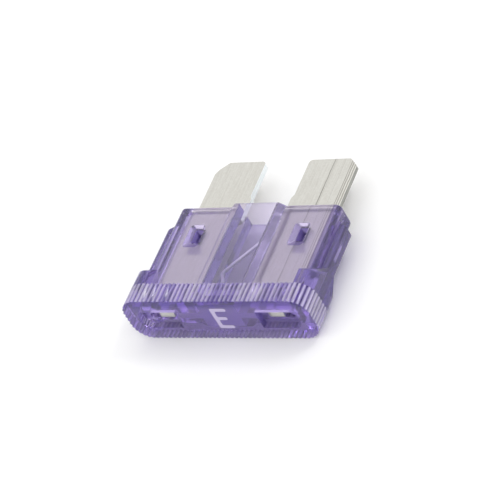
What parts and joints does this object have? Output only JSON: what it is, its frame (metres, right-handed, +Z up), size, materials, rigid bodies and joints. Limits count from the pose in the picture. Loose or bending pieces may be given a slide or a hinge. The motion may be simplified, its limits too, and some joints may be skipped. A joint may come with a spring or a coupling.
{
  "type": "automotive blade fuse",
  "caption": "Regular blade fuse: ribbed see-through housing over a stamped zinc element with two flat blades and a thin melting link.",
  "frame": {"origin": "under the middle of the part's box, on the surface it lies on", "axes": "+X across the two blades, +Y from the head face to the blade tips, +Z up, out of the broad front face"},
  "size_m": [0.0196, 0.0188, 0.005],
  "materials": {
    "violet_plastic": "see-through violet moulding, polished faces",
    "zinc": "satin rolled zinc strip"
  },
  "bodies": {
    "root": {"housing": "violet_plastic", "fuse_element": "zinc"}
  },
  "joints": []
}
